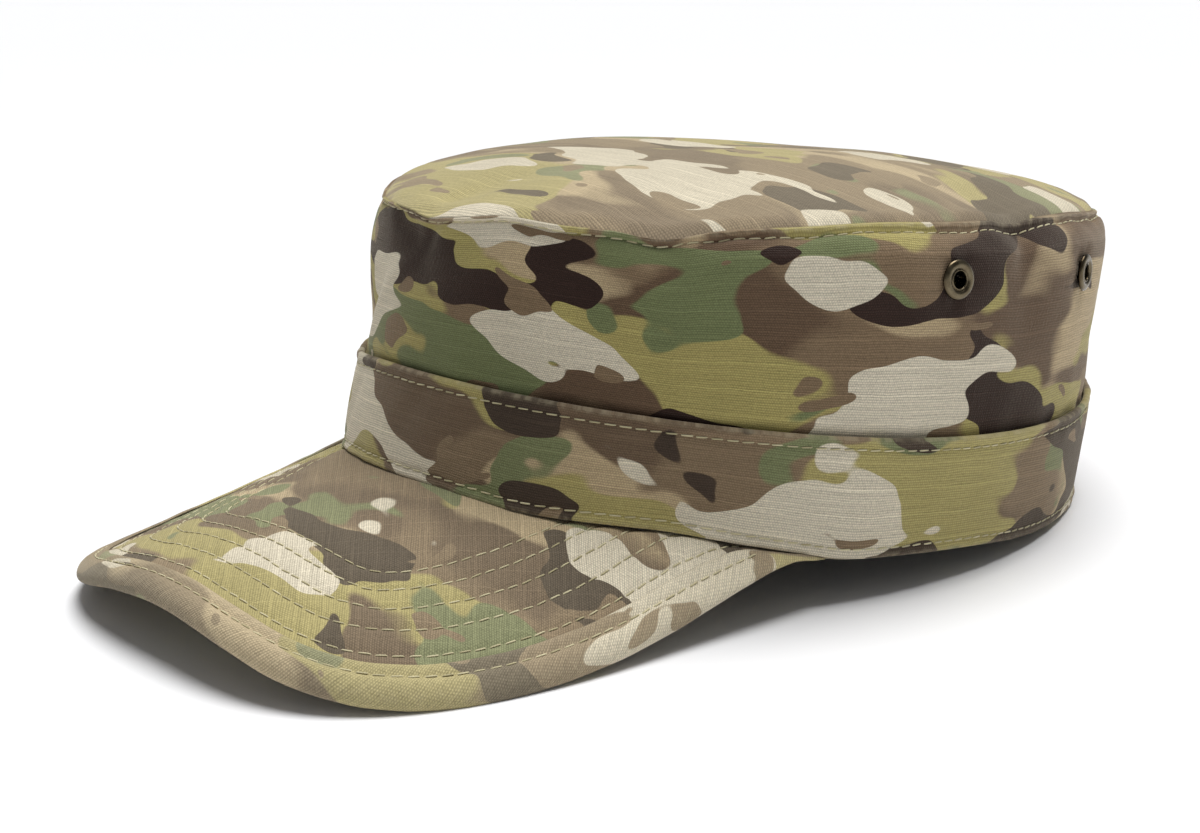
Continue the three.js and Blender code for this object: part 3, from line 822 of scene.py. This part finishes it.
def ring_row(skin, outward, level_of, rng):
    azimuth = np.linspace(-178.5, 178.5, 1400)
    level = level_of(azimuth)
    return thread_row(skin(azimuth, level), outward(azimuth, level), rng)


def back_row(skin, outward, levels, rng):
    """Stitching beside the seam at the back."""
    level = np.linspace(*levels, 80)
    azimuth = np.full(level.shape, 180 + BACK_STITCH / ROUND * 360)
    return thread_row(skin(azimuth, level), outward(azimuth, level), rng)


def crown_stitches():
    rng = np.random.default_rng(21)
    seam_level = lambda azimuth: np.full(azimuth.shape, level_below_seam(SEAM_STITCH))
    return thread_mesh("crown_stitches", [
        ring_row(wall_skin, wall_normal, seam_level, rng),
        back_row(wall_skin, wall_normal, (1.06, level_below_seam(4.5)), rng),
    ])


def band_stitches():
    rng = np.random.default_rng(22)
    return thread_mesh("band_stitches", [
        ring_row(band_skin, wall_normal, lambda azimuth: 1 - BAND_TOP_STITCH / band_height(azimuth), rng),
        ring_row(band_skin, wall_normal, lambda azimuth: BAND_LOW_STITCH / band_height(azimuth), rng),
        back_row(band_skin, wall_normal, (0.13, 0.85), rng),
    ])


def visor_normal(plan, side):
    step = 0.4
    x, y = plan[..., 0], plan[..., 1]
    slope_x = (visor_height(x + step, y) - visor_height(x - step, y)) / (2 * step)
    slope_y = (visor_height(x, y + step) - visor_height(x, y - step)) / (2 * step)
    return unit(np.stack([-slope_x, -slope_y, np.ones(x.shape)], -1)) * side


def visor_row(distance, side, rng):
    """A row of stitches at a constant distance from the visor's edge, from band to band."""
    shares = np.linspace(0, 1, 240)
    plan = visor_plan(shares, 0.5)
    away = edge_distance(plan)
    path = []
    for k in range(len(plan)):
        if away[k, 0] > distance:
            share = np.interp(-distance, -away[k], shares)
            path.append([np.interp(share, shares, plan[k, :, axis]) for axis in (0, 1)])
    path = np.array(path)
    return thread_row(visor_skin(path, side), visor_normal(path, side), rng)


def tape_row(side, rng):
    edge, inward, width, _ = tape_frames()
    wide = width > TAPE_STITCH + 1.2
    plan = (edge + inward * TAPE_STITCH)[wide]
    azimuth = TAPE_STATIONS[wide]
    height = visor_height(plan[:, 0], plan[:, 1]) + tape_middle(azimuth)
    tall = tape_profile(TAPE_STITCH, TAPE_WIDTH, tape_half_height(azimuth))
    points = np.concatenate([plan, (height + side * tall)[:, None]], -1)
    return thread_row(points, visor_normal(plan, side), rng)


def visor_stitches():
    rng = np.random.default_rng(23)
    rows = [visor_row(distance, side, rng) for side in (1, -1) for distance in STITCH_ROWS]
    return thread_mesh("visor_stitches", rows + [tape_row(1, rng), tape_row(-1, rng)])


# Eyelets: radius and height of the rolled brass over the cloth
EYELET_PROFILE = [
    (2.0, -2.35), (2.6, -2.62), (3.6, -2.6), (4.15, -2.4), (4.2, -2.15), (3.9, -1.95), (2.8, -1.9),
    (2.8, 0.0), (3.9, 0.05), (4.45, 0.1), (4.62, 0.28), (4.58, 0.5), (4.4, 0.74), (4.1, 0.95),
    (3.75, 1.09), (3.35, 1.14), (3.0, 1.08), (2.75, 0.94), (2.58, 0.76), (2.48, 0.68), (2.4, 0.74),
    (2.32, 0.88), (2.2, 0.96), (2.08, 0.92), (1.99, 0.72), (1.97, 0.2), (1.97, -1.2),
]
EYELET_SIDES = 64
VENT_RADIUS = 2.9  # hole in the wall for the eyelet's barrel
VENT_SIDES = 28
DRILL_REACH = 5.0  # how far the drill for the hole reaches to each side of the wall's face


def eyelet_seat(azimuth, height):
    """Middle of an eyelet on the wall's face, and the direction out of the wall there."""
    level = eyelet_level(azimuth, height)
    outward = wall_normal(np.array([azimuth]), np.array([level]))[0]
    return wall_face(azimuth, level), outward


def eyelet(name, azimuth, height):
    place, outward = eyelet_seat(azimuth, height)
    side = unit(np.cross([0, 0, 1.0], outward))
    up = np.cross(outward, side)
    profile = np.array(EYELET_PROFILE)
    angle = np.linspace(0, 2 * math.pi, EYELET_SIDES + 1)[:, None]
    spoke = np.cos(angle)[..., None] * side + np.sin(angle)[..., None] * up
    points = place + spoke * profile[None, :, :1] + outward * profile[None, :, 1:]
    cloth = closed(layers(angle * 4, profile[None, :, 0]))
    worn = np.broadcast_to(ease(0.5, 1.05, profile[:, 1]), points.shape[:2])
    finish = layers(closed(worn), 0)
    return grid_mesh(name + "_brass", points[:-1], cloth, finish, wrap_rows=True, wrap_columns=True)


def cut_eyelet_holes(wall):
    """Round holes through the wall for the barrels of the eyelets."""
    for azimuth, height in EYELETS.values():
        place, outward = eyelet_seat(azimuth, height)
        ends = settle(np.stack([place - outward * DRILL_REACH, place + outward * DRILL_REACH]))
        axis = Vector(ends[1] - ends[0])
        radius = VENT_RADIUS * MM
        work = bmesh.new()
        bmesh.ops.create_cone(
            work, cap_ends=True, segments=VENT_SIDES, radius1=radius, radius2=radius, depth=axis.length
        )
        mesh = bpy.data.meshes.new("drill")
        work.to_mesh(mesh)
        work.free()
        drill = linked("drill", mesh)
        drill.rotation_euler = axis.to_track_quat("Z", "Y").to_euler()
        drill.location = Vector(ends.mean(0))
        cut = wall.modifiers.new("hole", "BOOLEAN")
        cut.object = drill
        cut.solver = "EXACT"
        bpy.context.view_layer.update()
        evaluated = wall.evaluated_get(bpy.context.evaluated_depsgraph_get())
        drilled = bpy.data.meshes.new_from_object(evaluated)
        wall.modifiers.clear()
        wall.data = drilled
        bpy.data.objects.remove(drill)


# Materials
def srgb(red, green, blue):
    linear = [((c / 255 + 0.055) / 1.055) ** 2.4 if c > 10 else c / 255 / 12.92 for c in (red, green, blue)]
    return (*linear, 1.0)


PRINT = {
    "taupe": srgb(124, 104, 80),
    "brown": srgb(97, 77, 59),
    "olive": srgb(163, 152, 94),
    "green": srgb(112, 120, 81),
    "tan": srgb(178, 158, 124),
    "dark": srgb(46, 29, 23),
    "cream": srgb(210, 201, 180),
}
# Layers of the print, from the ground up: colour, shift, scale, threshold, softness, detail
PRINT_LAYERS = [
    ("brown", 3.0, 0.8, 0.51, 0.045, 1.0),
    ("tan", 11.0, 0.9, 0.60, 0.03, 1.0),
    ("olive", 19.0, 0.8, 0.55, 0.012, 1.0),
    ("green", 27.0, 1.1, 0.605, 0.009, 1.0),
    ("dark", 35.0, 1.15, 0.605, 0.0022, 0.6),
    ("cream", 43.0, 1.0, 0.61, 0.0022, 0.6),
    ("taupe", 51.0, 2.2, 0.70, 0.003, 0.4),
]


class Nodes:
    """The node tree of one material, with short calls for the nodes that are used here."""

    def __init__(self, name):
        self.material = bpy.data.materials.new(name)
        self.material.use_nodes = True
        self.tree = self.material.node_tree
        self.shader = self.tree.nodes["Principled BSDF"]

    def feed(self, socket, value):
        if isinstance(value, bpy.types.NodeSocket):
            self.tree.links.new(value, socket)
        else:
            socket.default_value = value

    def add(self, kind, inputs, **settings):
        node = self.tree.nodes.new("ShaderNode" + kind)
        for key, value in settings.items():
            setattr(node, key, value)
        for key, value in inputs.items():
            self.feed(node.inputs[key], value)
        return node

    def math(self, operation, a, b=0.0, c=0.0):
        return self.add("Math", {0: a, 1: b, 2: c}, operation=operation).outputs[0]

    def vector(self, operation, a, b):
        return self.add("VectorMath", {0: a, 1: b}, operation=operation).outputs[0]

    def scaled(self, vector, factor):
        return self.add("VectorMath", {0: vector, "Scale": factor}, operation="SCALE").outputs[0]

    def step(self, value, low, high, start=0.0, end=1.0):
        inputs = {"Value": value, "From Min": low, "From Max": high, "To Min": start, "To Max": end}
        return self.add("MapRange", inputs, interpolation_type="SMOOTHSTEP").outputs[0]

    def blend(self, factor, a, b):
        return self.add("Mix", {0: factor, 6: a, 7: b}, data_type="RGBA").outputs[2]

    def noise(self, vector, scale, detail=2.0, output="Fac"):
        return self.add("TexNoise", {"Vector": vector, "Scale": scale, "Detail": detail}).outputs[output]

    def uv(self, name):
        return self.add("UVMap", {}, uv_map=name).outputs[0]

    def parts(self, vector):
        return self.add("SeparateXYZ", {0: vector}).outputs

    def bump(self, height, distance, normal=None):
        inputs = {"Strength": 1.0, "Distance": distance * MM, "Height": height}
        if normal is not None:
            inputs["Normal"] = normal
        return self.add("Bump", inputs).outputs[0]

    def surface(self, values):
        for name, value in values.items():
            self.feed(self.shader.inputs[name], value)
        return self.material


def camouflage(n, place, offset):
    """Generic print of soft-edged patches under crisp dark and pale blobs, stretched along the cloth."""
    moved = n.vector("ADD", n.vector("MULTIPLY", place, (1 / 46, 1 / 27, 0)), offset)
    swirl = n.vector("SUBTRACT", n.noise(moved, 1.7, 1.0, "Color"), (0.5, 0.5, 0.5))
    wavy = n.vector("ADD", moved, n.scaled(swirl, 0.9))
    colour = PRINT["taupe"]
    for name, shift, scale, threshold, softness, detail in PRINT_LAYERS:
        field = n.noise(n.vector("ADD", wavy, (shift, shift * 0.7, shift * 1.3)), scale, detail)
        cover = n.step(field, threshold - softness, threshold + softness)
        colour = n.blend(cover, colour, PRINT[name])
    return colour


def line(n, value, period, half_width):
    """1 on thin lines at every period of value, and 0 between them."""
    share = n.math("FRACT", n.math("DIVIDE", value, period))
    distance = n.math("MULTIPLY", n.math("ABSOLUTE", n.math("SUBTRACT", share, 0.5)), period)
    return n.math("SUBTRACT", 1.0, n.step(distance, half_width * 0.4, half_width))


def weave(n, place, rib, grid, line_weights):
    """Height and brightness of a plain weave with the thicker threads of a ripstop grid. The brightness
    paints shade into the gaps between the yarns, with paler ripstop threads and the yarns' own streaks and
    grain.
    """
    wander = n.vector("SUBTRACT", n.noise(place, 0.12, 1.0, "Color"), (0.5, 0.5, 0.5))
    x, y, _ = n.parts(n.vector("ADD", place, n.scaled(wander, 0.9)))
    across, along = rib
    warp = n.math("COSINE", n.math("MULTIPLY", x, 2 * math.pi / across))
    weft = n.math("COSINE", n.math("MULTIPLY", y, math.pi / along))
    cells = n.math("MULTIPLY_ADD", n.math("MULTIPLY", warp, weft), 0.5, 0.5)
    rows = n.math("MULTIPLY_ADD", n.math("COSINE", n.math("MULTIPLY", y, 2 * math.pi / along)), 0.5, 0.5)
    cloth = n.math("MULTIPLY_ADD", rows, 0.5, n.math("MULTIPLY", cells, 0.5))
    level = n.math("MULTIPLY", line(n, y, grid, 0.28), line_weights[0])
    upright = n.math("MULTIPLY", line(n, x, grid, 0.28), line_weights[1])
    patchy = n.step(n.noise(place, 0.06, 2.0), 0.35, 0.6, 0.35, 1.0)
    grid_lines = n.math("MULTIPLY", n.math("MAXIMUM", level, upright), patchy)
    streaks = n.noise(n.vector("MULTIPLY", place, (0.06, 1.7, 1)), 1.0, 2.0)
    grain = n.noise(place, 1.5, 2.0)
    height = n.math("MULTIPLY_ADD", grid_lines, 0.7, n.math("MULTIPLY_ADD", grain, 0.7, cloth))
    # Painted shade: darker in the gaps between the yarns and lighter on their crowns, following the weave's
    # height. The ripstop threads are paler, and the streaks and grain are the yarns' own tone.
    weave_shade_and_tone = n.math("MULTIPLY_ADD", cloth, 0.66, 0.61)
    weave_shade_and_tone = n.math("MULTIPLY_ADD", grid_lines, 0.24, weave_shade_and_tone)
    weave_shade_and_tone = n.math("MULTIPLY_ADD", n.math("SUBTRACT", streaks, 0.5), 0.48, weave_shade_and_tone)
    weave_shade_and_tone = n.math("MULTIPLY_ADD", n.math("SUBTRACT", grain, 0.5), 0.55, weave_shade_and_tone)
    return height, weave_shade_and_tone


def printed_cloth(
    name, offset, fade_and_painted_light=0.0, turn=0.0, rib=(0.6, 0.58), grid=6.2, line_weights=(0.9, 0.2), relief=0.11
):
    """Printed ripstop, with the place of its print, its wash towards a pale tan, and the turn and sizes of
    its weave. The wash is partly the cloth's fading and partly painted sheen and light.
    """
    n = Nodes(name)
    place = n.uv("cloth")
    wear, inside, _ = n.parts(n.uv("finish"))
    turned = n.add("VectorRotate", {"Vector": place, "Angle": math.radians(turn)}, rotation_type="Z_AXIS")
    height, weave_shade_and_tone = weave(n, turned.outputs[0], rib, grid, line_weights)
    # The wash is partly the cloth's fading and partly painted sheen and light. It lifts pieces that catch
    # the lamp's haze or that face away from it.
    colour = n.blend(fade_and_painted_light, camouflage(n, place, offset), srgb(208, 196, 166))
    fade = n.math("MULTIPLY_ADD", n.noise(place, 0.03, 3.0), 0.3, 0.86)
    # The weave's painted shade and tone, together with the slow fading, scale the print's colour.
    colour = n.scaled(colour, n.math("MULTIPLY", weave_shade_and_tone, fade))
    pale = n.math("MULTIPLY", wear, n.step(n.noise(place, 0.5, 3.0), 0.4, 0.65, 0.08, 0.34))
    colour = n.blend(pale, colour, srgb(192, 180, 150))
    colour = n.blend(n.math("MULTIPLY", inside, 0.55), colour, srgb(150, 139, 112))
    soft = n.bump(n.noise(place, 0.9, 4.0), 0.12)
    return n.surface({
        "Base Color": colour,
        "Roughness": n.step(n.noise(place, 3.5, 4.0), 0.3, 0.7, 0.86, 0.98),
        "Normal": n.bump(height, relief, soft),
        "Specular IOR Level": 0.25,
        "Sheen Weight": 0.35,
        "Sheen Roughness": 0.45,
        "Sheen Tint": srgb(235, 225, 205),
    })


def twill():
    n = Nodes("khaki_twill")
    place = n.uv("cloth")
    x, y, _ = n.parts(place)
    slanted = n.math("ADD", x, n.math("MULTIPLY", y, 1.3))
    ribs = n.math("COSINE", n.math("MULTIPLY", slanted, 2 * math.pi / 0.9))
    height = n.math("MULTIPLY_ADD", ribs, 0.5, 0.5)
    tone = n.math("MULTIPLY_ADD", n.noise(place, 0.05, 3.0), 0.35, 0.68)
    # Painted shade: the twill is darker in the furrows between its ribs and lighter on the ribs, following
    # their height. The noise above is the cloth's own tone.
    tone = n.math("MULTIPLY_ADD", height, 0.22, tone)
    return n.surface({
        "Base Color": n.scaled(srgb(150, 137, 108)[:3], tone),
        "Roughness": n.step(n.noise(place, 2.0, 3.0), 0.3, 0.7, 0.85, 0.97),
        "Normal": n.bump(height, 0.12),
        "Sheen Weight": 0.3,
    })


def thread():
    n = Nodes("khaki_thread")
    place = n.add("TexCoord", {}).outputs["Object"]
    painted_end_shade_at, stitch_tone, _ = n.parts(n.uv("finish"))
    colour = n.blend(stitch_tone, srgb(170, 160, 120), srgb(210, 201, 163))
    # Painted shade: each stitch goes dark brown towards its ends, as if in the shadow of the needle holes
    # it dives into.
    colour = n.blend(n.step(painted_end_shade_at, 0.86, 1.0), colour, srgb(66, 58, 42))
    return n.surface({
        "Base Color": colour,
        "Roughness": n.step(n.noise(place, 260.0, 2.0), 0.3, 0.7, 0.6, 0.8),
        "Normal": n.bump(n.noise(place, 4200.0, 2.0), 0.05),
        "Sheen Weight": 0.3,
    })


def antique_brass():
    n = Nodes("antique_brass")
    place = n.uv("cloth")
    wear, _, _ = n.parts(n.uv("finish"))
    cloud = n.noise(place, 0.35, 3.0)
    worn = n.math("MULTIPLY", wear, n.step(cloud, 0.3, 0.65, 0.45, 1.0))
    colour = n.blend(n.math("MULTIPLY", worn, 0.3), srgb(74, 64, 48), srgb(170, 158, 130))
    return n.surface({
        "Base Color": colour,
        "Roughness": n.step(cloud, 0.3, 0.7, 0.2, 0.34),
        "Normal": n.bump(n.noise(place, 3.0, 2.0), 0.006),
        "Metallic": 1.0,
    })


def pale_floor():
    return Nodes("pale_floor").surface({
        "Base Color": (0.87, 0.87, 0.88, 1),
        "Roughness": 0.3,
        "Specular IOR Level": 0.08,
    })


# Stage
FLOOR_HALF = 12.0  # half the side of the square floor, in metres


def stage():
    half = FLOOR_HALF
    mesh = bpy.data.meshes.new("floor")
    corners = [(-half, -half, 0), (half, -half, 0), (half, half, 0), (-half, half, 0)]
    mesh.from_pydata(corners, [], [(0, 1, 2, 3)])
    mesh.materials.append(pale_floor())
    floor = linked("floor", mesh)


CAMERA_AZIMUTH = math.radians(46.28)
CAMERA_ELEVATION = math.radians(15.14)
CAMERA_DISTANCE = 0.5
CAMERA_TARGET = Vector((-0.0224, 0.0058, 0.0202))
CAMERA_LENS = 55.425


def camera():
    data = bpy.data.cameras.new("camera")
    data.lens = CAMERA_LENS
    data.sensor_width = 36.0
    data.sensor_fit = "HORIZONTAL"
    data.clip_start = 0.01
    item = linked("camera", data)
    flat = math.cos(CAMERA_ELEVATION)
    back = Vector((
        math.sin(CAMERA_AZIMUTH) * flat,
        -math.cos(CAMERA_AZIMUTH) * flat,
        math.sin(CAMERA_ELEVATION),
    ))
    item.location = CAMERA_TARGET + back * CAMERA_DISTANCE
    item.rotation_euler = back.to_track_quat("Z", "Y").to_euler()
    bpy.context.scene.camera = item


# Light
OVERHEAD_FROM = Vector((-0.07, 0.26, 1.0))
OVERHEAD_POWER = 3.8
OVERHEAD_SPREAD = math.radians(38)
HORIZON_POWER = 1.0
SKY_POWER = 0.17
SKY_STARTS = 0.3  # height on the unit sphere where the surroundings have sunk to the sky's power


def studio_world():
    """Pale surroundings that are brightest near the floor, so that the floor runs on into them."""
    world = bpy.data.worlds.new("studio")
    world.use_nodes = True
    tree = world.node_tree
    place = tree.nodes.new("ShaderNodeTexCoord")
    parts = tree.nodes.new("ShaderNodeSeparateXYZ")
    level = tree.nodes.new("ShaderNodeMapRange")
    level.interpolation_type = "SMOOTHSTEP"
    fade = {"From Min": 0.0, "From Max": SKY_STARTS, "To Min": HORIZON_POWER, "To Max": SKY_POWER}
    for name, value in fade.items():
        level.inputs[name].default_value = value
    tree.links.new(place.outputs["Generated"], parts.inputs[0])
    tree.links.new(parts.outputs["Z"], level.inputs["Value"])
    tree.links.new(level.outputs[0], tree.nodes["Background"].inputs["Strength"])
    tree.nodes["Background"].inputs["Color"].default_value = (0.98, 0.99, 1.0, 1)
    return world


def lights():
    bpy.context.scene.world = studio_world()
    overhead = bpy.data.lights.new("overhead", "SUN")
    overhead.energy = OVERHEAD_POWER
    overhead.angle = OVERHEAD_SPREAD
    linked("overhead", overhead).rotation_euler = OVERHEAD_FROM.to_track_quat("Z", "Y").to_euler()


def build():
    crown = printed_cloth("crown_ripstop", (0.0, 0.0, 0.0))
    band = printed_cloth("band_ripstop", (14.3, 6.1, 2.0), fade_and_painted_light=0.05)
    # The top's wash is mostly painted sheen: the haze of the overhead light across its cloth.
    top = printed_cloth("top_ripstop", (31.7, 12.4, 5.0), fade_and_painted_light=0.23, relief=0.06)
    # The visor's wash is partly the cloth's fading and partly painted sheen.
    visor = printed_cloth(
        "visor_ripstop", (47.2, 3.3, 9.0), fade_and_painted_light=0.15, turn=38.0, rib=(0.6, 0.5), grid=5.2,
        line_weights=(0.7, 0.7),
    )
    # The tape's wash is mostly painted light on the bound edge, which faces down and away from the overhead
    # light.
    tape = printed_cloth(
        "bias_ripstop", (58.9, 21.8, 4.0), fade_and_painted_light=0.3, turn=45.0, rib=(0.62, 0.5), line_weights=(0.3, 0.3)
    )
    khaki = twill()
    yarn = thread()
    brass = antique_brass()

    wall = crown_wall()
    cut_eyelet_holes(wall)
    dress(wall, crown, "side_wall")
    dress(crown_band(), band, "band")
    dress(top_cloth(), top, "top_panel")
    dress(visor_cloth(), visor, "visor")
    dress(visor_tape(), tape, "visor_binding")
    dress(sweatband(), khaki, "sweatband")
    for name, (azimuth, height) in EYELETS.items():
        dress(eyelet(name, azimuth, height), brass, name)
    for piece in (crown_stitches(), band_stitches(), visor_stitches()):
        dress(piece, yarn)


bpy.context.scene.view_settings.view_transform = "Standard"
stage()
camera()
lights()
build()
